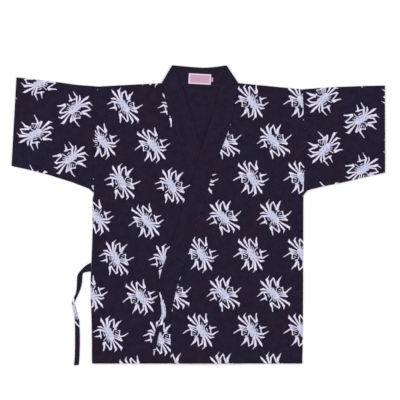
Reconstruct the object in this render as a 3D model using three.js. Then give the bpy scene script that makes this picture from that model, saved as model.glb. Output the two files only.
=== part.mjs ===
// Japanese chef jacket, laid flat on its back with the wearer's left front on top.
// Millimetres. +X is to the right seen from above, +Y runs from hem to neck, +Z is up.
// The origin is under the middle of the outline, on the surface the jacket lies on.

import * as THREE from "three";

// Cloth
const WALL = 1.2; // one layer of cotton with its turned seams
const BAND_WALL = 2.2; // collar band, a strip folded in two
const TIE_WALL = 1.2;
const LABEL_WALL = 0.8;
const UNDER_EDGE_Z = 0.5; // where the underside of a sleeve's folded edge starts to round up
const UNDER_EDGE_RISE = 0.15; // of the inner surface at that edge
const SEAM_GAP = 0.3; // between pieces that are sewn edge to edge
const LAYER_GAP = 0.5; // between panels that lie on each other
const FRONT_LEVEL = WALL + LAYER_GAP; // underside of a front that lies on the back

// Body
const HEM_Y = -401;
const LABEL = { x: 3.9, y: 367.5, width: 60.5, height: 28, turn: -0.055 };
const SIZE_TAB = { x: 37.2, y: 365.4, width: 5, height: 11, turn: -0.055 };

// Armholes: the seam from the shoulder tip down to the underarm, and its bow along X
const ARMHOLES = {
  left: { top: [-270.4, 347.5], underarm: [-282.3, 58.9], bow: -3.4 },
  right: { top: [281.7, 339.7], underarm: [284.2, 53.7], bow: 3.2 },
};

// Side edges of the body, from the hem up to the underarm
const SIDES = {
  left: [
    { y: HEM_Y, x: -287.4 },
    { y: -297, x: -288.2 },
    { y: -194, x: -291.2 },
    { y: -127, x: -288.8 },
    { y: -40, x: -285.9 },
    { y: 41, x: -285.6 },
    { y: 58.9, x: -282.3 },
  ],
  right: [
    { y: HEM_Y, x: 281 },
    { y: -310, x: 282.6 },
    { y: -121, x: 283.4 },
    { y: 30, x: 283.8 },
    { y: 53.7, x: 284.2 },
  ],
};

// Seam that joins each front to its collar band, running on as the front's free edge below the
// band. Left and right are as seen from above; the left front passes under the right one.
const BAND_SEAMS = {
  left: [
    { y: HEM_Y, x: 75.2 },
    { y: -276, x: 74.6 },
    { y: -240, x: 70.6 },
    { y: -186, x: 61 },
    { y: -108, x: 41 },
    { y: -40, x: 20.7 },
    { y: 76, x: -14.4 },
    { y: 189, x: -48.9 },
    { y: 251, x: -69 },
    { y: 278, x: -79 },
    { y: 356.7, x: -99.6 },
  ],
  right: [
    { y: HEM_Y, x: -74.6 },
    { y: -276, x: -73.6 },
    { y: -240, x: -68.4 },
    { y: -186, x: -55.4 },
    { y: -108, x: -28.4 },
    { y: 50, x: 21 },
    { y: 108, x: 37.4 },
    { y: 174, x: 60.4 },
    { y: 246, x: 87 },
    { y: 356.7, x: 108.4 },
  ],
};

// Free edge of each collar band, from its lower end up to the fold at the side of the neck
const BAND_EDGES = {
  left: [
    { y: -195, x: 110.6 },
    { y: -160, x: 107.5 },
    { y: -108, x: 94.4 },
    { y: 76, x: 38.6 },
    { y: 177, x: 7.4 },
    { y: 223, x: -5.6 },
    { y: 251, x: -13 },
    { y: 280, x: -23 },
    { y: 327, x: -37 },
    { y: 379, x: -56.6 },
    { y: 405.3, x: -70.6 },
  ],
  right: [
    { y: -195, x: -107.4 },
    { y: -162, x: -102.6 },
    { y: -124, x: -90 },
    { y: -29, x: -57.6 },
    { y: 22, x: -41 },
    { y: 125, x: -7 },
    { y: 176, x: 8 },
    { y: 193, x: 13 },
    { y: 261, x: 36 },
    { y: 327, x: 53.4 },
    { y: 376, x: 66 },
    { y: 405, x: 76.3 },
  ],
};
const BAND_END_Y = -276; // where the band's slanted lower end meets the front's free edge

// Collar band behind the neck: its seam with the back, and its free top edge
const NECK_SEAM = [
  { x: -99.8, y: 356.7 },
  { x: -62, y: 348.6 },
  { x: 2, y: 344.4 },
  { x: 66, y: 347.8 },
  { x: 108.2, y: 356.7 },
];
const NECK_TOP = [
  { x: -70.2, y: 405 },
  { x: -33.6, y: 401.6 },
  { x: 2, y: 398.8 },
  { x: 22, y: 398.4 },
  { x: 49, y: 400.8 },
  { x: 75.9, y: 404.7 },
];

// Sleeves, from the armhole to the cuff: top fold and underarm seam of each section
const SLEEVES = {
  left: [
    { topX: -270.4, topY: 347.5, lowX: -282.3, lowY: 58.9 },
    { topX: -283, topY: 348.4, lowX: -294.4, lowY: 71 },
    { topX: -329, topY: 351.9, lowX: -340, lowY: 88.4 },
    { topX: -387.6, topY: 360.2, lowX: -404, lowY: 108.6 },
    { topX: -440, topY: 366.4, lowX: -455, lowY: 121.8 },
    { topX: -491.3, topY: 372.1, lowX: -504.5, lowY: 132.8 },
  ],
  right: [
    { topX: 281.7, topY: 339.7, lowX: 284.2, lowY: 53.7 },
    { topX: 293, topY: 340.6, lowX: 294.6, lowY: 67 },
    { topX: 335, topY: 343.6, lowX: 338, lowY: 77.6 },
    { topX: 383.3, topY: 346.4, lowX: 383.3, lowY: 86.6 },
    { topX: 445, topY: 348.6, lowX: 445, lowY: 101 },
    { topX: 504, topY: 349.9, lowX: 504.5, lowY: 115 },
  ],
};

// Side tie, which lies on the surface, from the side seam down; it is rolled up and turned over
// where it is narrow. Both its edges.
const SIDE_TIE = [
  { leftX: -290, leftY: -151.5, rightX: -290, rightY: -129 },
  { leftX: -299.3, leftY: -152.8, rightX: -298.5, rightY: -133.7 },
  { leftX: -307.1, leftY: -153.9, rightX: -307.4, rightY: -140.1 },
  { leftX: -312.2, leftY: -157.4, rightX: -316.3, rightY: -149.3 },
  { leftX: -313.9, leftY: -163.6, rightX: -323.3, rightY: -158.2 },
  { leftX: -314.3, leftY: -170.6, rightX: -326.6, rightY: -167.6 },
  { leftX: -315.2, leftY: -183.3, rightX: -327.2, rightY: -183.3 },
  { leftX: -318.5, leftY: -196.8, rightX: -328, rightY: -196.8 },
  { leftX: -322.5, leftY: -207.6, rightX: -329.4, rightY: -207.6 },
  { leftX: -327.4, leftY: -218.4, rightX: -333, rightY: -218.4 },
  { leftX: -332.7, leftY: -229.2, rightX: -337.3, rightY: -229.2 },
  { leftX: -334.5, leftY: -238.7, rightX: -340.1, rightY: -238.7 },
  { leftX: -331, leftY: -249.8, rightX: -339, rightY: -249.8 },
  { leftX: -327.6, leftY: -263, rightX: -336.4, rightY: -263 },
  { leftX: -324.6, leftY: -277.8, rightX: -333.4, rightY: -277.8 },
  { leftX: -322.3, leftY: -289, rightX: -332.8, rightY: -289 },
  { leftX: -320.9, leftY: -332, rightX: -332.2, rightY: -332 },
  { leftX: -322, leftY: -382, rightX: -333, rightY: -382 },
  { leftX: -323.9, leftY: -405, rightX: -335.3, rightY: -405.3 },
];

// Front tie, which comes out from under the lower end of the top collar band: both its edges
const FRONT_TIE = [
  { leftX: -107.9, leftY: -201, rightX: -106.1, rightY: -201.8 },
  { leftX: -105.4, leftY: -216, rightX: -99.6, rightY: -217 },
  { leftX: -102.4, leftY: -234, rightX: -91.6, rightY: -236 },
  { leftX: -99.4, leftY: -253, rightX: -87.8, rightY: -254 },
  { leftX: -99.6, leftY: -269, rightX: -88.2, rightY: -272.4 },
  { leftX: -106, leftY: -286, rightX: -95.6, rightY: -291.4 },
  { leftX: -113.8, leftY: -307, rightX: -103, rightY: -311.4 },
  { leftX: -121, leftY: -332, rightX: -109.8, rightY: -335 },
  { leftX: -126.2, leftY: -364.6, rightX: -114.8, rightY: -366.6 },
];

// Largest soft folds of the cloth that lies on the back: ridge line, half width and rise
const FOLDS = [
  { fromX: -250, fromY: 78, toX: -150, toY: 205, reach: 27, rise: 1.3 },
  { fromX: 252, fromY: 70, toX: 165, toY: 190, reach: 27, rise: 1.3 },
  { fromX: -292, fromY: 118, toX: -425, toY: 182, reach: 25, rise: 1.2 },
  { fromX: -300, fromY: 296, toX: -448, toY: 322, reach: 22, rise: 0.9 },
  { fromX: 300, fromY: 112, toX: 430, toY: 160, reach: 25, rise: 1.2 },
  { fromX: 312, fromY: 292, toX: 450, toY: 300, reach: 22, rise: 0.8 },
  { fromX: -246, fromY: -100, toX: -196, toY: -330, reach: 32, rise: 1.2 },
  { fromX: 226, fromY: -40, toX: 196, toY: -350, reach: 34, rise: 1.2 },
  { fromX: 150, fromY: 96, toX: 158, toY: -50, reach: 30, rise: 0.8 },
];

// Where the edge of a panel rolls down to the surface: how far in from the outline each line of
// points lies, and how far the upper surface or the underside has dropped there. The flat inset
// is the one along an edge that doesn't roll.
const TURN_REACH = 3;
const NARROW = 3 * TURN_REACH; // in a strip narrower than this the lines draw together
const UPPER_TURN = [
  { inset: 0, flatInset: 0, drop: 1.5 },
  { inset: 0.9, flatInset: 0.9, drop: 0.5 },
  { inset: TURN_REACH, flatInset: TURN_REACH, drop: 0 },
];
const UNDER_TURN = [
  { inset: WALL, flatInset: 0.5, drop: 0.2 },
  { inset: WALL + 0.4, flatInset: 1, drop: 0.1 },
  { inset: TURN_REACH, flatInset: TURN_REACH, drop: 0 },
];

// The right front lies higher where the left one is under it: it starts to climb this far from
// the left front's outline, and is fully raised this near to it
const CLIMB = { start: 62, full: 34 };

const UNDERARM = 0.614; // share of the way up the body's edge at which the armhole starts
const UNDERARM_MARGIN = 0.01;
const BODY_ROWS = { side: 13, armhole: 8 };
const SLEEVE_STEPS = [1, 2, 3, 3, 3]; // sections from one row of a sleeve's table to the next
const SLEEVE_COLUMNS = 9;

// The back's neck edge: this far under the band's seam, but lower near the folds at both ends
const NECK = { inset: 0.5, blend: 24 };

const cottonLook = { color: 0x241e30, roughness: 0.9, metalness: 0 };
const labelLook = { color: 0xe6d3df, roughness: 0.7, metalness: 0 };

// Smooth value of one column of a table at a place in another, through every row
function along(rows, place, from, to) {
  const last = rows.length - 1;
  let k = 0;
  while (k < last - 1 && place > rows[k + 1][from]) k += 1;
  const slope = (i) => {
    const before = rows[Math.max(i - 1, 0)];
    const after = rows[Math.min(i + 1, last)];
    return (after[to] - before[to]) / (after[from] - before[from]);
  };
  const span = rows[k + 1][from] - rows[k][from];
  const s = THREE.MathUtils.clamp((place - rows[k][from]) / span, 0, 1);
  const blend = s * s * (3 - 2 * s);
  const lean = s * (1 - s) * span * (slope(k) * (1 - s) - slope(k + 1) * s);
  return THREE.MathUtils.lerp(rows[k][to], rows[k + 1][to], blend) + lean;
}

// Distance from a place to the line between two others
function lineDistance(x, y, from, to) {
  const [dx, dy] = [to.x - from.x, to.y - from.y];
  const share = ((x - from.x) * dx + (y - from.y) * dy) / (dx * dx + dy * dy);
  const s = THREE.MathUtils.clamp(share, 0, 1);
  return Math.hypot(x - from.x - s * dx, y - from.y - s * dy);
}

// Point of an armhole seam, from the underarm (0) to the shoulder tip (1)
function armholePoint(side, fraction) {
  const { top, underarm, bow } = ARMHOLES[side];
  const x = THREE.MathUtils.lerp(underarm[0], top[0], fraction);
  const y = THREE.MathUtils.lerp(underarm[1], top[1], fraction);
  return new THREE.Vector2(x + bow * 4 * fraction * (1 - fraction), y);
}

// Edge of the body from the hem (0) to the shoulder tip (1), moved in at the side seam and at
// the armhole
function bodyEdge(side, v, sideInset) {
  const inward = side === "left" ? 1 : -1;
  const armholeFrom = sideInset > 0 ? UNDERARM + UNDERARM_MARGIN : UNDERARM;
  if (v >= armholeFrom) {
    const point = armholePoint(side, (v - UNDERARM) / (1 - UNDERARM));
    point.x += (inward * SEAM_GAP) / 2;
    return point;
  }
  const y = THREE.MathUtils.lerp(HEM_Y, ARMHOLES[side].underarm[1], v / UNDERARM);
  return new THREE.Vector2(along(SIDES[side], y, "y", "x") + inward * sideInset, y);
}

// Edge given by a table of x at each y, moved along X, between two places
const tableEdge = (rows, lowY, highY, shift) => (v) => {
  const y = THREE.MathUtils.lerp(lowY, highY, v);
  return new THREE.Vector2(along(rows, y, "y", "x") + shift, y);
};

const straight = (from, to) => (s) => from.clone().lerp(to, s);
const evenRows = (count) => Array.from({ length: count - 1 }, (_, i) => (i + 1) / count);

// Plan of a piece: the places between four edges, u from left to right, v from bottom to top
function patch({ left, right, bottom, top }) {
  const [low, high] = [
    bottom ?? straight(left(0), right(0)),
    top ?? straight(left(1), right(1)),
  ];
  return (u, v) => {
    const across = left(v).lerp(right(v), u);
    const up = low(u).lerp(high(u), v);
    const corners = low(0).lerp(low(1), u).lerp(high(0).lerp(high(1), u), v);
    return across.add(up).sub(corners);
  };
}

// Height of the soft folds over the back
function foldRise(x, y) {
  let rise = 0;
  for (const { fromX, fromY, toX, toY, reach, rise: height } of FOLDS) {
    const away = lineDistance(x, y, { x: fromX, y: fromY }, { x: toX, y: toY }) / reach;
    rise += height * Math.exp(-away * away);
  }
  return rise;
}

// 1 on or near a closed outline, 0 well outside it
function nearOutline(x, y, outline) {
  let inside = false;
  let away = Infinity;
  outline.forEach((p, i) => {
    const q = outline[(i + 1) % outline.length];
    const spans = p.y > y !== q.y > y;
    if (spans && x < ((q.x - p.x) * (y - p.y)) / (q.y - p.y) + p.x) inside = !inside;
    away = Math.min(away, lineDistance(x, y, p, q));
  });
  return inside ? 1 : 1 - THREE.MathUtils.smoothstep(away, CLIMB.full, CLIMB.start);
}

// Outlines of the pieces that others climb over
const plan = (rows) => rows.map(({ x, y }) => new THREE.Vector2(x, y));
const lowerFront = [
  ...plan(BAND_SEAMS.left).reverse(),
  ...plan(SIDES.left),
  armholePoint("left", 0.5),
  armholePoint("left", 1),
];
const lowerBand = [
  ...plan(BAND_SEAMS.left.filter(({ y }) => y >= BAND_END_Y)),
  ...plan(BAND_EDGES.left).reverse(),
];
const neckBand = [...plan(NECK_SEAM), ...plan(NECK_TOP).reverse()];

// Height of the underside of what lies on the back, over the left front, and behind the neck
const onBack = (x, y) => FRONT_LEVEL + foldRise(x, y);
const overLeft = (x, y) => {
  const overFront = (WALL + LAYER_GAP) * nearOutline(x, y, lowerFront);
  const overBand = (BAND_WALL + LAYER_GAP) * nearOutline(x, y, lowerBand);
  return onBack(x, y) + Math.max(overFront, overBand);
};
const overNeck = (x, y) => (BAND_WALL - WALL) * nearOutline(x, y, neckBand);

// Solid from lists of points and of triangles, turned so that the faces look outward
function solid(points, faces) {
  let volume = 0;
  for (let i = 0; i < faces.length; i += 3) {
    const [a, b, c] = faces.slice(i, i + 3).map((index) => points[index]);
    volume += b.clone().cross(c).dot(a);
  }
  if (volume < 0) faces.reverse();
  const geometry = new THREE.BufferGeometry().setFromPoints(points);
  geometry.setIndex(faces);
  geometry.computeVertexNormals();
  return geometry;
}

// Closed wall between an upper and an under grid of points, with a rim of four lines of points
function wallSolid(upper, under, foot) {
  const [lastRow, lastColumn] = [upper.length - 1, upper[0].length - 1];
  const points = [];
  const put = (point) => points.push(point) - 1;
  const above = upper.map((row) => row.map(put));
  const below = under.map((row) => row.map(put));
  const faces = [];
  const quad = (a, b, c, d) => faces.push(a, b, c, a, c, d);
  for (let r = 0; r < lastRow; r += 1) {
    for (let c = 0; c < lastColumn; c += 1) {
      quad(above[r][c], above[r][c + 1], above[r + 1][c + 1], above[r + 1][c]);
      quad(below[r][c], below[r + 1][c], below[r + 1][c + 1], below[r][c + 1]);
    }
  }
  const rim = [];
  for (let c = 0; c < lastColumn; c += 1) rim.push([0, c]);
  for (let r = 0; r < lastRow; r += 1) rim.push([r, lastColumn]);
  for (let c = lastColumn; c > 0; c -= 1) rim.push([lastRow, c]);
  for (let r = lastRow; r > 0; r -= 1) rim.push([r, 0]);
  const feet = rim.map(([r, c]) => foot(r, c));
  const loops = [
    rim.map(([r, c]) => above[r][c]),
    feet.map(({ outer }) => put(outer)),
    feet.map(({ inner }) => put(inner)),
    rim.map(([r, c]) => below[r][c]),
  ];
  loops.slice(1).forEach((lower, k) => {
    lower.forEach((_, i) => {
      const next = (i + 1) % rim.length;
      quad(loops[k][i], lower[i], lower[next], loops[k][next]);
    });
  });
  return solid(points, faces);
}

// Cloth wall over a plan. level is the height of its underside, rows its places from bottom to
// top, turned the edges that roll down to the surface, from 0 to 1; the left one by place.
function clothWall({ at, columns, rows, level, wall = WALL, turned = {} }) {
  const turn = { left: () => 0, right: () => 0, top: 0, ...turned };
  const width = (v) => at(0, v).distanceTo(at(1, v));
  const height = at(0.5, 0).distanceTo(at(0.5, 1));

  // Places along one direction: the lines of both edges, and the steps between them
  const places = (profile, length, between, first, last) => {
    const lines = (amount) =>
      profile.map(({ flatInset, inset, drop }) => ({
        share: THREE.MathUtils.lerp(flatInset, inset, amount) / Math.max(length, NARROW),
        drop: drop * amount,
      }));
    const low = lines(first).map(({ share, drop }) => ({ at: share, drop }));
    const high = lines(last).map(({ share, drop }) => ({ at: 1 - share, drop }));
    return [...low, ...between.map((place) => ({ at: place, drop: 0 })), ...high.reverse()];
  };
  const rowPlaces = (profile) => places(profile, height, rows, 0, turn.top);
  const between = evenRows(columns);
  const grid = (profile, thickness) =>
    rowPlaces(profile).map((row) => {
      const ends = [turn.left(row.at), turn.right(row.at)];
      return places(profile, width(row.at), between, ...ends).map((column) => {
        const place = at(column.at, row.at);
        const z = level(place.x, place.y) + thickness - Math.max(row.drop, column.drop);
        return new THREE.Vector3(place.x, place.y, z);
      });
    });
  const [upper, under] = [grid(UPPER_TURN, wall), grid(UNDER_TURN, 0)];
  const upperRows = rowPlaces(UPPER_TURN);
  const foot = (r, c) => {
    const v = upperRows[r].at;
    const atSide = c === 0 ? turn.left(v) : c === upper[0].length - 1 ? turn.right(v) : 0;
    const amount = Math.max(atSide, r === upper.length - 1 ? turn.top : 0);
    const [edge, inside] = [upper[r][c], under[r][c]];
    const z = level(edge.x, edge.y) * (1 - amount);
    const outer = new THREE.Vector3(edge.x, edge.y, z);
    const inner = inside.clone().lerp(edge, (1 - amount) / 2).setZ(z);
    return { outer, inner };
  };
  return wallSolid(upper, under, foot);
}

function piece(name, geometry, look = cottonLook) {
  const mesh = new THREE.Mesh(geometry, new THREE.MeshStandardMaterial(look));
  mesh.name = name;
  return mesh;
}

// Places from bottom to top at which the body panels have points: the side seam, then the armhole
const bodyRows = [];
for (let i = 1; i <= BODY_ROWS.side; i += 1) bodyRows.push((UNDERARM * i) / BODY_ROWS.side);
for (let i = 1; i < BODY_ROWS.armhole; i += 1) {
  bodyRows.push(UNDERARM + ((1 - UNDERARM) * i) / BODY_ROWS.armhole);
}
const sideTurn = (v) => (v < UNDERARM - UNDERARM_MARGIN ? 1 : 0);

// Back: one panel, flat on the surface, whose side and shoulder edges lie inside the fronts'
function back() {
  const inset = WALL + SEAM_GAP;
  const tips = [armholePoint("left", 1), armholePoint("right", 1)];
  const neck = [NECK_SEAM[0], NECK_SEAM[NECK_SEAM.length - 1]];
  const top = (u) => {
    const x = THREE.MathUtils.lerp(tips[0].x, tips[1].x, u);
    const fromEnd = Math.min(x - neck[0].x, neck[1].x - x);
    if (fromEnd > 0) {
      const blend = THREE.MathUtils.smoothstep(fromEnd, 0, NECK.blend);
      const drop = THREE.MathUtils.lerp(inset, NECK.inset, blend);
      return new THREE.Vector2(x, along(NECK_SEAM, x, "x", "y") - drop);
    }
    const [tip, end] = x < 0 ? [tips[0], neck[0]] : [tips[1], neck[1]];
    return new THREE.Vector2(x, THREE.MathUtils.mapLinear(x, tip.x, end.x, tip.y, end.y) - inset);
  };
  const lowered = (side) => (v) => bodyEdge(side, v, inset).add({ x: 0, y: -inset * v });
  const at = patch({ left: lowered("left"), right: lowered("right"), top });
  return piece("back", clothWall({ at, columns: 24, rows: bodyRows, level: () => 0 }));
}

// Front: side seam and shoulder rolled down round the back's edges
function front(side, level, columns) {
  const inward = side === "left" ? 1 : -1;
  const outer = (v) => bodyEdge(side, v, 0);
  const topY = BAND_SEAMS[side][BAND_SEAMS[side].length - 1].y;
  const seam = tableEdge(BAND_SEAMS[side], HEM_Y, topY, (-inward * SEAM_GAP) / 2);
  const edges = side === "left" ? { left: outer, right: seam } : { left: seam, right: outer };
  const turned = { [side]: sideTurn, top: 1 };
  const wall = clothWall({ at: patch(edges), columns, rows: bodyRows, level, turned });
  return piece(`${side}_front`, wall);
}

// Collar band of a front: slanted lower end, folded over to the back at the side of the neck
function frontBand(side, level) {
  const inward = side === "left" ? 1 : -1;
  const [seamRows, edgeRows] = [BAND_SEAMS[side], BAND_EDGES[side]];
  const [seamTop, edgeTop] = [seamRows[seamRows.length - 1].y, edgeRows[edgeRows.length - 1].y];
  const seam = tableEdge(seamRows, BAND_END_Y, seamTop, (inward * SEAM_GAP) / 2);
  const edge = tableEdge(edgeRows, edgeRows[0].y, edgeTop, 0);
  const edges = side === "left" ? { left: seam, right: edge } : { left: edge, right: seam };
  const rows = bodyRows
    .map((v) => THREE.MathUtils.lerp(HEM_Y, seamTop, v))
    .map((y) => (y - BAND_END_Y) / (seamTop - BAND_END_Y))
    .filter((v) => v > UNDERARM_MARGIN);
  const form = { at: patch(edges), columns: 2, rows, level, wall: BAND_WALL, turned: { top: 1 } };
  return piece(`${side}_band`, clothWall(form));
}

// Collar band behind the neck, flat on the surface above the back, inside the two folds
function backBand() {
  const inset = WALL + SEAM_GAP;
  const edge = (rows, shift) => (u) => {
    const [from, to] = [rows[0].x + inset, rows[rows.length - 1].x - inset];
    const x = THREE.MathUtils.lerp(from, to, u);
    return new THREE.Vector2(x, along(rows, x, "x", "y") + shift);
  };
  const [bottom, top] = [edge(NECK_SEAM, 0), edge(NECK_TOP, 0)];
  const left = straight(bottom(0), top(0));
  const right = straight(bottom(1), top(1));
  const at = patch({ left, right, bottom, top });
  const form = { at, columns: 10, rows: evenRows(2), level: () => 0, wall: BAND_WALL };
  return piece("back_band", clothWall(form));
}

// Open tube from rings of outer and inner points
function tubeSolid(rings) {
  const points = [];
  const put = (point) => points.push(point) - 1;
  const outer = rings.map((ring) => ring.map((spot) => put(spot.outer)));
  const inner = rings.map((ring) => ring.map((spot) => put(spot.inner)));
  const faces = [];
  const quad = (a, b, c, d) => faces.push(a, b, c, a, c, d);
  const size = rings[0].length;
  const last = rings.length - 1;
  for (let i = 0; i < size; i += 1) {
    const j = (i + 1) % size;
    for (let k = 0; k < last; k += 1) {
      quad(outer[k][i], outer[k][j], outer[k + 1][j], outer[k + 1][i]);
      quad(inner[k][i], inner[k + 1][i], inner[k + 1][j], inner[k][j]);
    }
    quad(outer[0][i], inner[0][i], inner[0][j], outer[0][j]);
    quad(outer[last][i], outer[last][j], inner[last][j], inner[last][i]);
  }
  return solid(points, faces);
}

// Sleeve: a tube pressed flat, folded at the top, with its seam at the underarm
function sleeve(side) {
  const inward = side === "left" ? 1 : -1;
  const [armhole, ...later] = SLEEVES[side];
  const section = (from, to, share, more) => {
    const mix = (key) => THREE.MathUtils.lerp(from[key], to[key], share);
    const [top, low] = [
      new THREE.Vector2(mix("topX"), mix("topY")),
      new THREE.Vector2(mix("lowX"), mix("lowY")),
    ];
    return { top, low, ...more };
  };
  const seam = { bow: ARMHOLES[side].bow, shift: (-inward * SEAM_GAP) / 2 };
  const sections = [section(armhole, armhole, 0, seam)];
  later.forEach((to, k) => {
    for (let i = 1; i <= SLEEVE_STEPS[k]; i += 1) {
      sections.push(section(SLEEVES[side][k], to, i / SLEEVE_STEPS[k], { bow: 0, shift: 0 }));
    }
  });

  // Outer and inner points round one section: over the top from fold to seam, back underneath
  const ring = ({ top, low, bow, shift }) => {
    const length = top.distanceTo(low);
    const place = (inset) => {
      const s = inset / length;
      const point = top.clone().lerp(low, s);
      point.x += bow * 4 * s * (1 - s) + shift;
      return point;
    };
    const near = UPPER_TURN.map((line, i) => ({
      insets: [line.inset, UNDER_TURN[i].inset],
      drops: [line.drop, UNDER_TURN[i].drop],
    }));
    const middle = evenRows(SLEEVE_COLUMNS).map((share) => {
      const inset = THREE.MathUtils.lerp(TURN_REACH, length - TURN_REACH, share);
      return { insets: [inset, inset], drops: [0, 0] };
    });
    const far = near.map(({ insets, drops }) => ({
      insets: insets.map((inset) => length - inset),
      drops,
    }));
    const line = [...near, ...middle, ...far.reverse()];
    const over = line.map(({ insets, drops }) => {
      const [outer, inner] = insets.map(place);
      const [outerZ, innerZ] = [onBack(outer.x, outer.y) + WALL, onBack(inner.x, inner.y)];
      return {
        outer: new THREE.Vector3(outer.x, outer.y, outerZ - drops[0]),
        inner: new THREE.Vector3(inner.x, inner.y, innerZ - drops[1]),
      };
    });
    const underneath = line.map(({ insets }, i) => {
      const [outer, inner] = insets.map(place);
      const atEdge = i === 0 || i === line.length - 1;
      return {
        outer: new THREE.Vector3(outer.x, outer.y, atEdge ? UNDER_EDGE_Z : 0),
        inner: new THREE.Vector3(inner.x, inner.y, atEdge ? WALL + UNDER_EDGE_RISE : WALL),
      };
    });
    return [...over, ...underneath.reverse()];
  };
  return piece(`${side}_sleeve`, tubeSolid(sections.map(ring)));
}

// Tie: a flat strip between two edges
function tie(name, rows, level) {
  const last = rows.length - 1;
  const edge = (keyX, keyY) => (v) => {
    const k = Math.min(Math.floor(v * last), last - 1);
    const [a, b, s] = [rows[k], rows[k + 1], v * last - k];
    const x = THREE.MathUtils.lerp(a[keyX], b[keyX], s);
    return new THREE.Vector2(x, THREE.MathUtils.lerp(a[keyY], b[keyY], s));
  };
  const at = patch({ left: edge("leftX", "leftY"), right: edge("rightX", "rightY") });
  const form = { at, columns: 1, rows: evenRows(2 * last), level, wall: TIE_WALL };
  return piece(name, clothWall(form));
}

// Bare woven label, or its size tab, on the band behind the neck
function label(name, { x, y, width, height, turn }) {
  const geometry = new THREE.BoxGeometry(width, height, LABEL_WALL);
  const mesh = piece(name, geometry, labelLook);
  mesh.position.set(x, y, BAND_WALL + SEAM_GAP + LABEL_WALL / 2);
  mesh.rotation.z = turn;
  return mesh;
}

const jacket = new THREE.Group();
const overLeftAndNeck = (x, y) => overLeft(x, y) + overNeck(x, y);
const onBackAndNeck = (x, y) => onBack(x, y) + overNeck(x, y);
jacket.add(
  back(),
  front("left", onBack, 12),
  front("right", overLeft, 16),
  sleeve("left"),
  sleeve("right"),
  backBand(),
  frontBand("left", onBackAndNeck),
  frontBand("right", overLeftAndNeck),
  tie("side_tie", SIDE_TIE, () => 0),
  tie("front_tie", FRONT_TIE, (x, y) => onBack(x, y) + WALL + LAYER_GAP),
  label("label", LABEL),
  label("size_tab", SIZE_TAB),
);

export default jacket;
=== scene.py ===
import math

import bmesh
import bpy
from mathutils import Matrix, Vector, noise
from mathutils.bvhtree import BVHTree


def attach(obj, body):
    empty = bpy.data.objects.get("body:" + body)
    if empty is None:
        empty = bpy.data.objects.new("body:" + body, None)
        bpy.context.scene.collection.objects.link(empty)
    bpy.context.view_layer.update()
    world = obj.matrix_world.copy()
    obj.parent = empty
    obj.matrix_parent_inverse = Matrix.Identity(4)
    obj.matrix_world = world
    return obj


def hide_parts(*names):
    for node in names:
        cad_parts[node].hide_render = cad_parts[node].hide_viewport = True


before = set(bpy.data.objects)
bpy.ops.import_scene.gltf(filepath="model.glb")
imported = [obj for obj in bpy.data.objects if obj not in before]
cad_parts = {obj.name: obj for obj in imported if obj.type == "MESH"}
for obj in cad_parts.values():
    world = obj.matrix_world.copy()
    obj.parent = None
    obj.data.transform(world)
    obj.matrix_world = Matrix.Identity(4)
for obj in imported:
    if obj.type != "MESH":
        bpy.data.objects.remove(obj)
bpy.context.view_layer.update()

# Studio. The jacket lies on a plain pale table under large soft lights, and the camera looks
# straight down on it from far off, its top towards the neck.
MM = 0.001
VIEW_WIDTH = 1080 * MM  # of table across the picture
VIEW_CENTRE = Vector((4.5, 40.8, 3)) * MM
LENS = 100
SENSOR = 36
LIGHTS = (
    # name, place in metres, side in metres, watts
    ("key", (-1.6, 1.7, 2.2), 1.2, 24),
    ("fill", (2.2, -1.2, 2.4), 1.6, 20),
)
SKY = 0.84  # strength of the light from all round
TABLE_GREY = 0.94
TABLE_HALF = 6  # half its side, in metres
TABLE_DROP = 0.2  # below the underside of the cloth, so that the two faces don't meet

camera = bpy.data.objects.new("camera", bpy.data.cameras.new("camera"))
camera.data.lens = LENS
camera.data.sensor_width = SENSOR
camera.data.clip_start = 0.1
camera.location = VIEW_CENTRE + Vector((0, 0, VIEW_WIDTH * LENS / SENSOR))
bpy.context.scene.collection.objects.link(camera)
bpy.context.scene.camera = camera
bpy.context.scene.view_settings.view_transform = "Standard"


def linear(red, green, blue):
    """Scene colour of a colour given as it shows on a screen, 0 to 255."""
    def light(value):
        value /= 255
        return value / 12.92 if value <= 0.04045 else ((value + 0.055) / 1.055) ** 2.4
    return (light(red), light(green), light(blue), 1.0)


def put(tree, kind, *inputs, out=0, **settings):
    """A new shader node with its sockets linked or set in order; gives back one of its outputs."""
    node = tree.nodes.new("ShaderNode" + kind)
    for key, value in settings.items():
        setattr(node, key, value)
    for socket, value in zip(node.inputs, inputs):
        if isinstance(value, bpy.types.NodeSocket):
            tree.links.new(value, socket)
        elif value is not None:
            socket.default_value = value
    return node.outputs[out]


def new_finish(name, roughness, specular):
    """A new material with its node tree and its Principled node."""
    material = bpy.data.materials.new(name)
    material.use_nodes = True
    shader = material.node_tree.nodes["Principled BSDF"]
    shader.inputs["Roughness"].default_value = roughness
    shader.inputs["Specular IOR Level"].default_value = specular
    return material, material.node_tree, shader


def new_object(name, bm, finishes):
    """A new object of a bmesh, which is used up."""
    mesh = bpy.data.meshes.new(name)
    bm.to_mesh(mesh)
    bm.free()
    for finish in finishes:
        mesh.materials.append(finish)
    made = bpy.data.objects.new(name, mesh)
    bpy.context.scene.collection.objects.link(made)
    return made


table_finish, _, table_shader = new_finish("pale_table", 0.9, 0.1)
table_shader.inputs["Base Color"].default_value = (TABLE_GREY, TABLE_GREY, TABLE_GREY, 1)
table_bm = bmesh.new()
bmesh.ops.create_grid(table_bm, x_segments=1, y_segments=1, size=TABLE_HALF)
bmesh.ops.translate(table_bm, vec=(0, 0, -TABLE_DROP * MM), verts=table_bm.verts)
table = new_object("table", table_bm, [table_finish])

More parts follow.
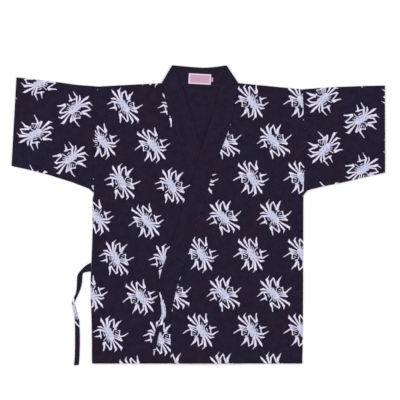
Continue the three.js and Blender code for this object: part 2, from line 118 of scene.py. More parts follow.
world = bpy.data.worlds.new("studio")
world.use_nodes = True
world.node_tree.nodes["Background"].inputs["Color"].default_value = (1, 1, 1, 1)
world.node_tree.nodes["Background"].inputs["Strength"].default_value = SKY
bpy.context.scene.world = world
for light_name, light_place, side, watts in LIGHTS:
    lamp = bpy.data.lights.new(light_name, "AREA")
    lamp.size = side
    lamp.energy = watts
    light = bpy.data.objects.new(light_name, lamp)
    light.location = light_place
    light.rotation_euler = (-Vector(light_place)).to_track_quat("-Z", "Y").to_euler()
    bpy.context.scene.collection.objects.link(light)

# Back. One panel of dark cotton printed with flowers on its outside, which lies on the table; its
# plain inside shows in the neck. It is sewn to the fronts at the sides and shoulders.
CLOTH = 1.0  # thickness of one layer with its turned seams
WALL = 1.2  # the room that it takes
SEAM_GAP = 0.3
HEM_Y = -401
HEM_DEPTH = 20
HEM_STITCH = HEM_DEPTH - 1  # from the edge
STITCHED = (0.01, 0.99)  # share of a hem's width at which its stitches start and end
BACK_SIZE = (568, 750)
BACK_HEM = 0.026  # share of the way up the back at which its hem is stitched
UNDERARM = 0.614  # share of the way up the body's edge at which the armhole starts
GRAIN = 6  # between the points of a cloth
NECK_INSET = 0.05  # of the back's edge from the neck seam
NECK_BLEND = 14  # from the ends of the neck seam, where the back lies lower inside the folds
BACK_FLOWER = (66, -20)  # middle of one of its flowers
ARMHOLES = {
    # top x and y, underarm x and y, bow along X
    "left": (-270.4, 347.5, -282.3, 58.9, -3.4),
    "right": (281.7, 339.7, 284.2, 53.7, 3.2),
}
SIDES = {
    # y, x
    "left": (
        (HEM_Y, -287.4), (-297, -288.2), (-194, -291.2), (-127, -288.8),
        (-40, -285.9), (41, -285.6), (58.9, -282.3),
    ),
    "right": ((HEM_Y, 281), (-310, 282.6), (-121, 283.4), (30, 283.8), (53.7, 284.2)),
}
NECK_SEAM = (
    # x, y
    (-99.8, 356.7), (-62, 348.6), (2, 344.4), (66, 347.8), (108.2, 356.7),
)


def mix(low, high, share):
    return low + (high - low) * share


def along(rows, place):
    """Smooth value at a place through every row of (place, value)."""
    last = len(rows) - 1
    k = 0
    while k < last - 1 and place > rows[k + 1][0]:
        k += 1

    def slope(i):
        (x0, y0), (x1, y1) = rows[max(i - 1, 0)], rows[min(i + 1, last)]
        return (y1 - y0) / (x1 - x0)
    span = rows[k + 1][0] - rows[k][0]
    s = min(max((place - rows[k][0]) / span, 0), 1)
    lean = s * (1 - s) * span * (slope(k) * (1 - s) - slope(k + 1) * s)
    return mix(rows[k][1], rows[k + 1][1], s * s * (3 - 2 * s)) + lean


def armhole_point(side, share):
    """Point of an armhole seam, from the underarm (0) to the shoulder tip (1)."""
    top_x, top_y, low_x, low_y, bow = ARMHOLES[side]
    x = mix(low_x, top_x, share) + bow * 4 * share * (1 - share)
    return Vector((x, mix(low_y, top_y, share)))


def body_edge(side, v, side_inset=0.0):
    """Point of the body's edge, from the hem (0) to the shoulder tip (1)."""
    inward = 1 if side == "left" else -1
    if v >= UNDERARM:
        point = armhole_point(side, (v - UNDERARM) / (1 - UNDERARM))
        return point + Vector((inward * SEAM_GAP / 2, 0))
    y = mix(HEM_Y, ARMHOLES[side][3], v / UNDERARM)
    return Vector((along(SIDES[side], y) + inward * side_inset, y))


def patch(left, right, bottom=None, top=None):
    """Plan of a piece between four edges: u from left to right, v from bottom to top."""
    low = bottom or (lambda u: left(0).lerp(right(0), u))
    high = top or (lambda u: left(1).lerp(right(1), u))

    def plan(u, v):
        corners = low(0).lerp(low(1), u).lerp(high(0).lerp(high(1), u), v)
        return left(v).lerp(right(v), u) + low(u).lerp(high(u), v) - corners
    return plan


def stations(length, first=(0,), last=(0,), step=GRAIN):
    """Shares of a length at which a cloth has points: the given insets in millimetres from its
    two ends, and even steps between them."""
    start, end = max(first), length - max(last)
    steps = max(round((end - start) / step), 1)
    places = list(first) + [length - inset for inset in last]
    places += [mix(start, end, i / steps) for i in range(steps + 1)]
    return sorted({round(place / length, 6) for place in places})


def rounded(inset, reach, depth):
    """How far a rounded edge has dropped at a distance in from its outline."""
    if inset >= reach:
        return 0
    return depth * (1 - math.sqrt(1 - (1 - inset / reach) ** 2))


def bolt_place(place, flower, turn):
    """Place on the bolt of printed cloth, from where a flower lies on the piece and its turn."""
    offset = Vector((place.x - flower[0], place.y - flower[1]))
    turned = Matrix.Rotation(-math.radians(turn), 2) @ offset
    return (turned.x, turned.y, 0)


def lay(name, columns, rows, at, finishes, thickness=CLOTH, face_down=False):
    """A sheet of cloth: a grid of columns and rows moved to its place, its outside given by at
    with the place on the bolt, and its thickness inwards from there."""
    bm = bmesh.new()
    bmesh.ops.create_grid(bm, x_segments=len(columns) - 1, y_segments=len(rows) - 1, size=1)
    cut_from = bm.verts.layers.float_vector.new("bolt_place")
    for vert in bm.verts:
        column = columns[round((vert.co.x + 1) / 2 * (len(columns) - 1))]
        row = rows[round((vert.co.y + 1) / 2 * (len(rows) - 1))]
        place, on_bolt = at(column, row)
        vert.co = place * MM
        vert[cut_from] = on_bolt
    if face_down:
        bmesh.ops.reverse_faces(bm, faces=bm.faces)
    for face in bm.faces:
        face.smooth = True
    cloth = new_object(name, bm, finishes)
    solid = cloth.modifiers.new("thickness", "SOLIDIFY")
    solid.thickness = thickness * MM
    solid.offset = -1
    solid.material_offset = len(finishes) - 1
    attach(cloth, "root")
    return cloth


def panel(name, plan, columns, rows, height, finishes, cut, **more):
    """A sheet over a plan; height takes a place and its distances in from the left, right,
    bottom and top edges, and cut gives its place on the bolt."""
    def at(u, v):
        spot = plan(u, v)
        width = (plan(1, v) - plan(0, v)).length
        tall = (plan(u, 1) - plan(u, 0)).length
        insets = (u * width, (1 - u) * width, v * tall, (1 - v) * tall)
        place = Vector((spot.x, spot.y, height(spot, *insets)))
        return place, cut(place)
    return lay(name, columns, rows, at, finishes, **more)


STITCH = Vector((2.3, 0.55, 0.4))  # length, width and height
STITCH_STEP = 3.2
SEW_FROM = 0.1  # metres off the cloth from which a stitch is dropped on it

thread, _, thread_shader = new_finish("dark_thread", 0.6, 0.2)
thread_shader.inputs["Base Color"].default_value = linear(50, 44, 64)


def sew(name, cloth, lines, finish=thread, from_below=False):
    """Stitches in a cloth, along lines of places seen from above."""
    surface = BVHTree.FromObject(cloth, bpy.context.evaluated_depsgraph_get())
    down = Vector((0, 0, 1 if from_below else -1))
    bm = bmesh.new()
    for line in lines:
        ahead = STITCH_STEP / 2
        for start, end in zip(line, line[1:]):
            way = end - start
            while ahead <= way.length:
                spot = (start + way * (ahead / way.length)).to_3d() * MM
                ahead += STITCH_STEP
                hit, normal = surface.ray_cast(spot - down * SEW_FROM, down)[:2]
                if not hit:
                    continue
                tilt = (-down).rotation_difference(normal).to_matrix().to_4x4()
                turn = Matrix.Rotation(math.atan2(way.y, way.x), 4, "Z")
                size = Matrix.Diagonal((*(STITCH / 2 * MM), 1))
                bmesh.ops.create_icosphere(bm, subdivisions=1, radius=1,
                                           matrix=Matrix.Translation(hit) @ tilt @ turn @ size)
            ahead -= way.length
    for face in bm.faces:
        face.smooth = True
    stitches = new_object(name, bm, [finish])
    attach(stitches, "root")
    return stitches


# The print: a loose chrysanthemum of ribbon petals, bent and forked at their tips, drawn as
# tapered strokes. Their ends and half widths were chosen on an enlarged view of one flower
# of the photo, and are given in that view's pixels, with y downwards.
FLOWER_RADIUS = 46
FLOWER_MIDDLE = (434, 457)  # in the enlarged view
FLOWER_REACH = 295  # pixels of that view for the flower's radius
FLOWER_STROKES = (
    # root x and y, tip x and y, half widths at the two
    (398, 428, 452, 500, 58, 66),
    (440, 470, 490, 520, 60, 52),
    (362, 412, 232, 275, 16, 20),
    (232, 275, 206, 242, 17, 4),
    (378, 400, 322, 235, 14, 22),
    (325, 226, 361, 163, 13, 4),
    (390, 390, 385, 260, 13, 15),
    (385, 262, 434, 200, 15, 9),
    (434, 200, 482, 335, 10, 17),
    (508, 350, 512, 278, 17, 22),
    (512, 272, 568, 182, 21, 4),
    (436, 400, 434, 376, 13, 8),
    (482, 440, 486, 392, 15, 11),
    (556, 378, 592, 366, 6, 11),
    (592, 368, 604, 436, 12, 10),
    (530, 436, 626, 462, 9, 11),
    (626, 462, 668, 438, 11, 12),
    (668, 438, 742, 368, 12, 8),
    (520, 472, 652, 488, 10, 11),
    (530, 506, 668, 520, 8, 20),
    (535, 546, 704, 646, 10, 21),
    (704, 646, 716, 694, 17, 4),
    (516, 566, 620, 684, 11, 19),
    (622, 690, 610, 742, 15, 6),
    (500, 575, 538, 700, 12, 14),
    (538, 700, 526, 726, 17, 14),
    (526, 726, 404, 628, 11, 13),
    (392, 652, 416, 718, 24, 14),
    (416, 718, 422, 778, 14, 9),
    (466, 575, 474, 604, 9, 5),
    (436, 560, 432, 600, 10, 5),
    (272, 472, 318, 580, 11, 13),
    (302, 545, 205, 592, 20, 5),
    (365, 448, 238, 452, 18, 17),
    (238, 454, 155, 522, 14, 7),
    (360, 425, 256, 392, 12, 16),
    (256, 394, 208, 408, 16, 9),
    (345, 504, 368, 528, 12, 9),
    (398, 560, 372, 612, 9, 8),
    (404, 545, 412, 572, 9, 6),
    (500, 374, 530, 356, 12, 13),
    (530, 402, 566, 404, 8, 6),
    (604, 438, 642, 464, 12, 12),
    (336, 478, 354, 508, 7, 8),
    (410, 372, 402, 392, 9, 11),
    (456, 588, 462, 618, 7, 4),
)
COLUMN_STEP = 135.8
ROW_STEP = 206
SECOND_FLOWER = (-57.8, 100.7, 168)  # from the first one, and its turn
COTTON = linear(30, 27, 47)
COTTON_WARM = linear(35, 24, 41)
PRINT_HEART = linear(197, 198, 224)
PRINT_PETAL = linear(226, 220, 242)
PRINT_EDGE = (0.004, -0.020)  # distance outside a stroke of bare cloth, and of full ink
WAVER = 4  # millimetres by which the print wavers on the bolt
THREADS_ACROSS = 520.0  # scale of the weave


def on_flower(x, y):
    """Place on the flower, in shares of its radius, of a point in the enlarged view."""
    return Vector((x - FLOWER_MIDDLE[0], FLOWER_MIDDLE[1] - y, 0)) / FLOWER_REACH


def stroke(tree, spot, start, end, half_start, half_end):
    """Distance outside a tapered stroke between two points, below 0 inside it."""
    way = end - start
    from_start = put(tree, "VectorMath", spot, start, operation="SUBTRACT")
    share = put(tree, "VectorMath", from_start, way / way.length_squared,
                operation="DOT_PRODUCT", out=1)
    share = put(tree, "Math", share, 0.0, operation="ADD", use_clamp=True)
    nearest = put(tree, "VectorMath", way, None, None, share, operation="SCALE")
    away = put(tree, "VectorMath", from_start, nearest, operation="DISTANCE", out=1)
    away = put(tree, "Math", share, half_start - half_end, away, operation="MULTIPLY_ADD")
    return put(tree, "Math", away, half_start, operation="SUBTRACT")


flower = bpy.data.node_groups.new("chrysanthemum", "ShaderNodeTree")
flower.interface.new_socket("Spot", in_out="INPUT", socket_type="NodeSocketVector")
flower.interface.new_socket("Away", in_out="OUTPUT", socket_type="NodeSocketFloat")
flower_spot = flower.nodes.new("NodeGroupInput").outputs[0]
flower_away = None
for root_x, root_y, tip_x, tip_y, half_root, half_tip in FLOWER_STROKES:
    petal = stroke(flower, flower_spot, on_flower(root_x, root_y), on_flower(tip_x, tip_y),
                   half_root / FLOWER_REACH, half_tip / FLOWER_REACH)
    if flower_away:
        petal = put(flower, "Math", flower_away, petal, operation="MINIMUM")
    flower_away = petal
flower.links.new(flower_away, flower.nodes.new("NodeGroupOutput").inputs[0])


def spread(tree, place, scale, detail, roughness, seen, given):
    """Noise whose values in one range are given as those of another."""
    value = put(tree, "TexNoise", place, None, scale, detail, roughness)
    return put(tree, "MapRange", value, *seen, *given)


def blend(tree, share, low, high, **settings):
    """Colour between two others."""
    return put(tree, "Mix", share, None, None, None, None, None, low, high,
               data_type="RGBA", out=2, **settings)


def shaded(tree, colour, value):
    """A colour times a value."""
    grey = put(tree, "CombineColor", value, value, value)
    return blend(tree, 1.0, colour, grey, blend_type="MULTIPLY")


def emboss(tree, shader, height, strength, distance):
    """Height as bump of a finish."""
    bump = tree.nodes.new("ShaderNodeBump")
    bump.inputs["Strength"].default_value = strength
    bump.inputs["Distance"].default_value = distance * MM
    tree.links.new(height, bump.inputs["Height"])
    tree.links.new(bump.outputs[0], shader.inputs["Normal"])


def weave(tree, shader):
    """Fine plain weave as bump, and the faint sheen of cotton."""
    place = put(tree, "TexCoord", out=3)
    warp, weft = (
        put(tree, "TexWave", place, THREADS_ACROSS, 1.2, 2.0, 1.0, out=1, bands_direction=way)
        for way in "XY"
    )
    cloth = put(tree, "Math", warp, weft, operation="MAXIMUM")
    slub = put(tree, "TexNoise", place, None, 900.0, 2.0)
    cloth = put(tree, "Math", slub, 0.5, cloth, operation="MULTIPLY_ADD")
    emboss(tree, shader, cloth, 0.25, 0.2)
    shader.inputs["Sheen Weight"].default_value = 0.03
    shader.inputs["Sheen Roughness"].default_value = 0.45


def cotton_colour(tree):
    """Dark cotton, a little warmer here and cooler there, with faint paler threads."""
    place = put(tree, "TexCoord", out=3)
    patches = spread(tree, place, 9.0, 3.0, 0.55, (0.35, 0.65), (0.0, 1.0))
    cloudy = spread(tree, place, 55.0, 2.0, 0.6, (0.3, 0.7), (0.8, 1.2))
    threads = spread(tree, place, 420.0, 2.0, 0.6, (0.3, 0.7), (0.7, 1.3))
    shade = put(tree, "Math", threads, cloudy, operation="MULTIPLY")
    return shaded(tree, blend(tree, patches, COTTON, COTTON_WARM), shade)


plain_cotton, plain_tree, plain_shader = new_finish("plain_cotton", 0.85, 0.06)
plain_tree.links.new(cotton_colour(plain_tree), plain_shader.inputs["Base Color"])
weave(plain_tree, plain_shader)

printed_cotton, tree, printed_shader = new_finish("printed_cotton", 0.85, 0.06)
bolt = put(tree, "Attribute", attribute_name="bolt_place", out=1)
waver = put(tree, "TexNoise", bolt, None, 0.11, 2.0, out=1)
waver = put(tree, "VectorMath", waver, (0.5, 0.5, 0.5), operation="SUBTRACT")
bolt = put(tree, "VectorMath", waver, (WAVER, WAVER, 0.0), bolt, operation="MULTIPLY_ADD")
cell = Vector((COLUMN_STEP, ROW_STEP, 0)) / 2
first = put(tree, "VectorMath", bolt, cell, -cell, operation="WRAP")
second = put(tree, "VectorMath", bolt, (*SECOND_FLOWER[:2], 0), operation="SUBTRACT")
second = put(tree, "VectorMath", second, cell, -cell, operation="WRAP")
second = put(tree, "Mapping", second, None, (0, 0, -math.radians(SECOND_FLOWER[2])))
first_away = put(tree, "VectorMath", first, operation="LENGTH", out=1)
second_away = put(tree, "VectorMath", second, operation="LENGTH", out=1)
nearer = put(tree, "Math", second_away, first_away, operation="LESS_THAN")
spot = put(tree, "Mix", nearer, None, None, None, first, second, data_type="VECTOR", out=1)
spot = put(tree, "VectorMath", spot, (1 / FLOWER_RADIUS,) * 3, operation="MULTIPLY")
motif = tree.nodes.new("ShaderNodeGroup")
motif.node_tree = flower
tree.links.new(spot, motif.inputs[0])
inked = put(tree, "MapRange", motif.outputs[0], *PRINT_EDGE, 0.0, 1.0)
cover = spread(tree, put(tree, "TexCoord", out=3), 260.0, 3.0, 0.6, (0.3, 0.48), (0.7, 1.0))
inked = put(tree, "Math", inked, cover, operation="MULTIPLY")
from_heart = put(tree, "VectorMath", spot, operation="LENGTH", out=1)
from_heart = put(tree, "MapRange", from_heart, 0.25, 0.6, 0.0, 1.0)
flecks = spread(tree, spot, 8.5, 2.0, 0.55, (0.37, 0.42), (0.15, 1.0))
flecks = put(tree, "Math", flecks, from_heart, operation="MAXIMUM")
inked = put(tree, "Math", inked, flecks, operation="MULTIPLY")
ink = blend(tree, from_heart, PRINT_HEART, PRINT_PETAL)
colour = blend(tree, inked, cotton_colour(tree), ink)
tree.links.new(colour, printed_shader.inputs["Base Color"])
weave(tree, printed_shader)

back_inset = WALL + SEAM_GAP
neck_start, neck_end = NECK_SEAM[0], NECK_SEAM[-1]


def back_top(u):
    """Top edge of the back: a shoulder, the neck seam and the other shoulder."""
    left_tip, right_tip = armhole_point("left", 1), armhole_point("right", 1)
    x = mix(left_tip.x, right_tip.x, u)
    from_end = min(x - neck_start[0], neck_end[0] - x)
    if from_end > 0:
        inset = mix(back_inset, NECK_INSET, min(from_end / NECK_BLEND, 1))
        return Vector((x, along(NECK_SEAM, x) - inset))
    tip, end = (left_tip, neck_start) if x < 0 else (right_tip, neck_end)
    return Vector((x, mix(tip.y, end[1], (x - tip.x) / (end[0] - tip.x)) - back_inset))


back_rows = stations(BACK_SIZE[1], (0, HEM_STITCH, HEM_DEPTH + 1))
back_plan = patch(
    lambda v: body_edge("left", v, back_inset) - Vector((0, back_inset * v)),
    lambda v: body_edge("right", v, back_inset) - Vector((0, back_inset * v)),
    top=back_top,
)


def back_at(u, v):
    """Place of the back's outside, which is its underside, and its place on the bolt."""
    spot = back_plan(u, v)
    seen_from_below = Vector((-spot.x, spot.y, 0))
    return Vector((spot.x, spot.y, 0)), bolt_place(seen_from_below, BACK_FLOWER, 0)


back = lay("back_panel", stations(BACK_SIZE[0]), back_rows, back_at,
           [printed_cotton, plain_cotton], face_down=True)
back_hem = sew("back_hem_stitches", back, [[back_plan(u, BACK_HEM) for u in STITCHED]],
               from_below=True)
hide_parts("back")

# Left front. The wearer's right front, printed like the back: sewn to it at the side and shoulder,
# where its edge rolls down round it, and to its collar band. It lies under the other front.
LAYER_GAP = 0.5
FRONT_LEVEL = WALL + LAYER_GAP  # underside of what lies on the back
ROLL = 2.4  # how far in an edge starts to roll down
ROLL_FOOT = 0.3  # above the table, where a rolled edge ends
ROLL_INSETS = (0, 0.05, 0.3, 0.8, 1.5, ROLL)
HEM_INSETS = (0, 0.3, 1, HEM_STITCH, HEM_DEPTH + 1)
SEAM_INSETS = (0, 0.3, 1.2)
HEM_ROUND = (1, 0.8)  # how far in a hem's edge is rounded, and how far it drops
BAND_SEAM_ROUND = (1.2, 0.7)
ARMHOLE_ROUND = (1.2, 0.5)
HEM_PROUD = 0.35  # above the single cloth
WAVE = (38, 0.22)  # length and height of the cloth's slight waviness
FRONT_SIZE = (340, 756)
FRONT_EDGE_STITCH = 7  # from the band's seam
FRONT_EDGE_START = HEM_Y + 3
BAND_END_Y = -276  # where the slanted lower end of a collar band meets its front
LEFT_FLOWER = ((-121.9, 186.3), 175.5)
LEFT_PULL = (186, 0.00077)  # the cloth is pulled outward above this place, by the square of the way
LEFT_BAND_SEAM = (
    # y, x
    (HEM_Y, 75.2), (BAND_END_Y, 74.6), (-240, 70.6), (-186, 61), (-108, 41), (-40, 20.7),
    (76, -14.4), (189, -48.9), (251, -69), (278, -79), (356.7, -99.6),
)
FOLDS = (
    # from x, y, to x, y, half width, rise
    (-250, 78, -150, 205, 27, 1.3),
    (252, 70, 165, 190, 27, 1.3),
    (-292, 118, -425, 182, 25, 1.2),
    (-300, 296, -448, 322, 22, 0.9),
    (300, 112, 430, 160, 25, 1.2),
    (312, 292, 450, 300, 22, 0.8),
    (-246, -100, -196, -330, 32, 1.2),
    (226, -40, 196, -350, 34, 1.2),
    (150, 96, 158, -50, 30, 0.8),
)
CREASES = (
    # from x, y, to x, y, half width, rise below or above the cloth round it
    (126, -8, 122, -66, 5, -0.35),
    (208, -256, 278, -258, 6, -0.3),
    (262, 66, 226, 24, 9, 0.5),
    (-262, 70, -226, 22, 9, 0.5),
    (-272, 330, -240, 250, 8, 0.35),
    (276, 322, 246, 240, 8, 0.35),
    (-160, -180, -90, -196, 7, -0.3),
    (-352, 330, -362, 118, 6, -0.3),
    (398, 334, 404, 100, 6, -0.3),
    (120, 300, 176, 262, 8, 0.35),
    (-128, 318, -176, 286, 8, 0.35),
)


def line_distance(x, y, x0, y0, x1, y1):
    """Distance of a place from a straight line between two points."""
    dx, dy = x1 - x0, y1 - y0
    s = min(max(((x - x0) * dx + (y - y0) * dy) / (dx * dx + dy * dy), 0), 1)
    return math.hypot(x - x0 - s * dx, y - y0 - s * dy)


def ridges(rows, x, y):
    """Height of folds or creases at a place."""
    return sum(
        rise * math.exp(-((line_distance(x, y, x0, y0, x1, y1) / reach) ** 2))
        for x0, y0, x1, y1, reach, rise in rows
    )


def on_back(spot):
    """Height of the underside of a cloth that lies on the back, over its soft folds."""
    return FRONT_LEVEL + ridges(FOLDS, spot.x, spot.y)


def uneven(spot):
    """Small creases and the slight waviness of laid cloth."""
    wave = noise.noise(Vector((spot.x, spot.y, 0)) / WAVE[0]) * WAVE[1]
    return ridges(CREASES, spot.x, spot.y) + wave


def hem_rise(inset):
    """The hem is turned up double, so it stands a little proud."""
    return HEM_PROUD * (1 - min(max((inset - HEM_STITCH) / 2, 0), 1))


def front_height(level, outer, band, bottom, top, below_underarm):
    """Height of a front's upper face from its distances to its edges."""
    height = level + hem_rise(bottom) - rounded(bottom, *HEM_ROUND)
    height -= rounded(band, *BAND_SEAM_ROUND)
    roll = (ROLL, height - ROLL_FOOT)
    outer_drop = rounded(outer, *(roll if below_underarm else ARMHOLE_ROUND))
    return height - max(outer_drop, rounded(top, *roll))


def seam_edge(rows, low_y, high_y, shift):
    """Edge given by rows of (y, x), moved along X, between two places."""
    def edge(v):
        y = mix(low_y, high_y, v)
        return Vector((along(rows, y) + shift, y))
    return edge


front_rows = stations(FRONT_SIZE[1], HEM_INSETS, ROLL_INSETS)
left_plan = patch(
    lambda v: body_edge("left", v),
    seam_edge(LEFT_BAND_SEAM, HEM_Y, LEFT_BAND_SEAM[-1][0], -SEAM_GAP / 2),
)


def left_height(spot, left, right, bottom, top):
    level = on_back(spot) + WALL + uneven(spot)
    return front_height(level, left, right, bottom, top, spot.y < ARMHOLES["left"][3] - 1)


def left_cut(place):
    """Place on the bolt of the left front, whose cloth is pulled outward near the shoulder."""
    pull = LEFT_PULL[1] * max(place.y - LEFT_PULL[0], 0) ** 2
    return bolt_place(place + Vector((pull, 0, 0)), *LEFT_FLOWER)


def hem_line(plan):
    """Where the hem of a front is stitched."""
    return [plan(u, HEM_STITCH / FRONT_SIZE[1]) for u in (STITCHED[0], 0.5, STITCHED[1])]


def edge_line(edge, count=40):
    """Places along an edge."""
    return [edge(i / count) for i in range(count + 1)]


left_front = panel("left_front_panel", left_plan,
                   stations(FRONT_SIZE[0], ROLL_INSETS, SEAM_INSETS), front_rows, left_height,
                   [printed_cotton, plain_cotton], left_cut)
left_stitches = sew("left_front_stitches", left_front, [
    hem_line(left_plan),
    edge_line(seam_edge(LEFT_BAND_SEAM, FRONT_EDGE_START, BAND_END_Y, -FRONT_EDGE_STITCH), 4),
])
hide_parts("left_front")

# Right front. The wearer's left front, on top: it climbs over the other front and its band, and
# below its own band its free edge runs straight down to the hem.
BAND_WALL = 2.2
CLIMB_START = 62  # from the outline of what lies underneath
CLIMB_FULL = 34
RIGHT_FLOWER = ((66.8, -3.4), 0)
RIGHT_BAND_SEAM = (
    # y, x
    (HEM_Y, -74.6), (BAND_END_Y, -73.6), (-240, -68.4), (-186, -55.4), (-108, -28.4),
    (50, 21), (108, 37.4), (174, 60.4), (246, 87), (356.7, 108.4),
)
LEFT_BAND_EDGE = (
    # y, x
    (-195, 110.6), (-160, 107.5), (-108, 94.4), (76, 38.6), (177, 7.4), (223, -5.6),
    (251, -13), (280, -23), (327, -37), (379, -56.6), (405.3, -70.6),
)


def near_outline(spot, outline):
    """1 on or near a closed outline, 0 well outside it."""
    inside = False
    away = math.inf
    for (x0, y0), (x1, y1) in zip(outline, outline[1:] + outline[:1]):
        if (y0 > spot.y) != (y1 > spot.y) and spot.x < (x1 - x0) * (spot.y - y0) / (y1 - y0) + x0:
            inside = not inside
        away = min(away, line_distance(spot.x, spot.y, x0, y0, x1, y1))
    if inside:
        return 1
    s = min(max((CLIMB_START - away) / (CLIMB_START - CLIMB_FULL), 0), 1)
    return s * s * (3 - 2 * s)


lower_front = [(x, y) for y, x in reversed(LEFT_BAND_SEAM)]
lower_front += [(x, y) for y, x in SIDES["left"]]
lower_front += [tuple(armhole_point("left", share)) for share in (0.5, 1)]
lower_band = [(x, y) for y, x in LEFT_BAND_SEAM if y >= BAND_END_Y]
lower_band += [(x, y) for y, x in reversed(LEFT_BAND_EDGE)]


def over_left(spot):
    """Height of the underside of what lies on the left front and its band."""
    on_front = (WALL + LAYER_GAP) * near_outline(spot, lower_front)
    on_band = (BAND_WALL + LAYER_GAP) * near_outline(spot, lower_band)
    return on_back(spot) + max(on_front, on_band)


right_plan = patch(
    seam_edge(RIGHT_BAND_SEAM, HEM_Y, RIGHT_BAND_SEAM[-1][0], SEAM_GAP / 2),
    lambda v: body_edge("right", v),
)


def right_height(spot, left, right, bottom, top):
    level = over_left(spot) + WALL + uneven(spot)
    return front_height(level, right, left, bottom, top, spot.y < ARMHOLES["right"][3] - 1)


right_front = panel("right_front_panel", right_plan,
                    stations(FRONT_SIZE[0], SEAM_INSETS, ROLL_INSETS), front_rows,
                    right_height, [printed_cotton, plain_cotton],
                    lambda place: bolt_place(place, *RIGHT_FLOWER))
right_stitches = sew("right_front_stitches", right_front, [
    hem_line(right_plan),
    edge_line(seam_edge(RIGHT_BAND_SEAM, FRONT_EDGE_START, BAND_END_Y, FRONT_EDGE_STITCH), 4),
])
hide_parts("right_front")

# Sleeves. Each is one printed piece folded at the top and sewn into a tube along the underarm,
# with a turned cuff, and set into its armhole. The flowers lie across it.
SLEEVE_LONG = 222
SLEEVE_WIDE = 280
FOLD_STEPS = 3
EASE = 12  # from an edge or armhole, over which creases and the armhole's bow fade
AT_SEAM = 0.1  # nearer than this to the armhole, a point is on its seam
CUFF_ENDS = 0.015  # share of the cuff's width that its stitches leave at each end
SLEEVE_FLOWERS = {"left": ((-331.2, 288.4), -95), "right": ((339.3, 177.4), 92)}
SLEEVES = {
    # top fold x and y, underarm seam x and y
    "left": (
        (-491.3, 372.1, -504.5, 132.8), (-440, 366.4, -455, 121.8), (-387.6, 360.2, -404, 108.6),
        (-329, 351.9, -340, 88.4), (-283, 348.4, -294.4, 71), (-270.4, 347.5, -282.3, 58.9),
    ),
    "right": (
        (281.7, 339.7, 284.2, 53.7), (293, 340.6, 294.6, 67), (335, 343.6, 338, 77.6),
        (383.3, 346.4, 383.3, 86.6), (445, 348.6, 445, 101), (504, 349.9, 504.5, 115),
    ),
}


def sleeve_section(side, u):
    """Top fold and underarm of the sleeve's section at a share of its way from left to right."""
    rows = SLEEVES[side]
    steps = [abs(b[0] - a[0]) for a, b in zip(rows, rows[1:])]
    way = u * sum(steps)
    k = 0
    while k < len(steps) - 1 and way > steps[k]:
        way -= steps[k]
        k += 1
    top_x, top_y, low_x, low_y = (mix(a, b, way / steps[k]) for a, b in zip(rows[k], rows[k + 1]))
    return Vector((top_x, top_y)), Vector((low_x, low_y))


def sleeve_rows():
    """Round a sleeve, from the underarm over the front to the fold and underneath back again:
    where each row lies, its share of the way down from the fold, or its turn round an edge."""
    turns = [math.pi / 2 * i / FOLD_STEPS for i in range(FOLD_STEPS + 1)]
    across = stations(SLEEVE_WIDE - 2 * ROLL)
    rows = [("underarm", None, turn) for turn in turns[:-1]]
    rows += [("over", 1 - share, None) for share in across]
    rows += [("fold", None, math.pi / 2 - turn) for turn in turns[1:]]
    rows += [("fold", None, -turn) for turn in turns[1:-1]]
    rows += [("under", share, None) for share in across]
    rows += [("underarm", None, -turn) for turn in reversed(turns[:-1])]
    return rows


def make_sleeve(side):
    """A sleeve with the stitches of its cuff, on its front and on its underside."""
    cut = SLEEVE_FLOWERS[side]
    inward = 1 if side == "left" else -1
    cuff_at = 0 if side == "left" else 1

    def at(u, row):
        kind, share, turn = row
        top, low = sleeve_section(side, u)
        length = (low - top).length
        from_cuff = abs(u - cuff_at) * SLEEVE_LONG
        from_armhole = SLEEVE_LONG - from_cuff
        if kind in ("over", "under"):
            from_fold = mix(ROLL, length - ROLL, share)
            lift = 1 if kind == "over" else 0
        else:
            inset = ROLL * (1 - math.cos(turn))
            from_fold = inset if kind == "fold" else length - inset
            lift = (1 + math.sin(turn)) / 2
        s = from_fold / length
        spot = top.lerp(low, s)
        spot.x += ARMHOLES[side][4] * max(1 - from_armhole / EASE, 0) * 4 * s * (1 - s)
        if from_armhole < AT_SEAM:
            spot.x -= inward * SEAM_GAP / 2
        smooth = min(from_fold / EASE, (length - from_fold) / EASE, 1)
        level = on_back(spot) + WALL + uneven(spot) * smooth + hem_rise(from_cuff)
        level -= rounded(from_cuff, *HEM_ROUND) + rounded(from_armhole, *ARMHOLE_ROUND)
        over = kind == "over" or (kind != "under" and turn >= 0)
        flat = spot if over else top + (top - low) * s
        return Vector((spot.x, spot.y, level * lift)), bolt_place(flat, *cut)

    ends = (HEM_INSETS, SEAM_INSETS) if side == "left" else (SEAM_INSETS, HEM_INSETS)
    sleeve = lay(f"{side}_sleeve_tube", stations(SLEEVE_LONG, *ends), sleeve_rows(), at,
                 [printed_cotton, plain_cotton])
    top, low = sleeve_section(side, abs(cuff_at - HEM_STITCH / SLEEVE_LONG))
    cuff = [top.lerp(low, CUFF_ENDS), top.lerp(low, 1 - CUFF_ENDS)]
    over = sew(f"{side}_cuff_stitches", sleeve, [cuff])
    under = sew(f"{side}_cuff_stitches_below", sleeve, [cuff], from_below=True)
    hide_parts(f"{side}_sleeve")


make_sleeve("left")
make_sleeve("right")

# Back collar band. A strip of plain cotton folded in two and sewn to the neck of the back; it lies
# flat on the table between the two folds at the sides of the neck.
BAND_CLOTH = 2.0
BAND_EDGE_INSETS = (0, 0.3, 0.8, 1.6)
BACK_BAND_SIZE = (176, 50)
BACK_BAND_STITCH = 2.2  # from the neck seam
BAND_ROUND = 1.6  # how far in the edges of a band are rounded
NECK_TOP = (
    # x, y
    (-70.2, 405), (-33.6, 401.6), (2, 398.8), (22, 398.4), (49, 400.8), (75.9, 404.7),
)


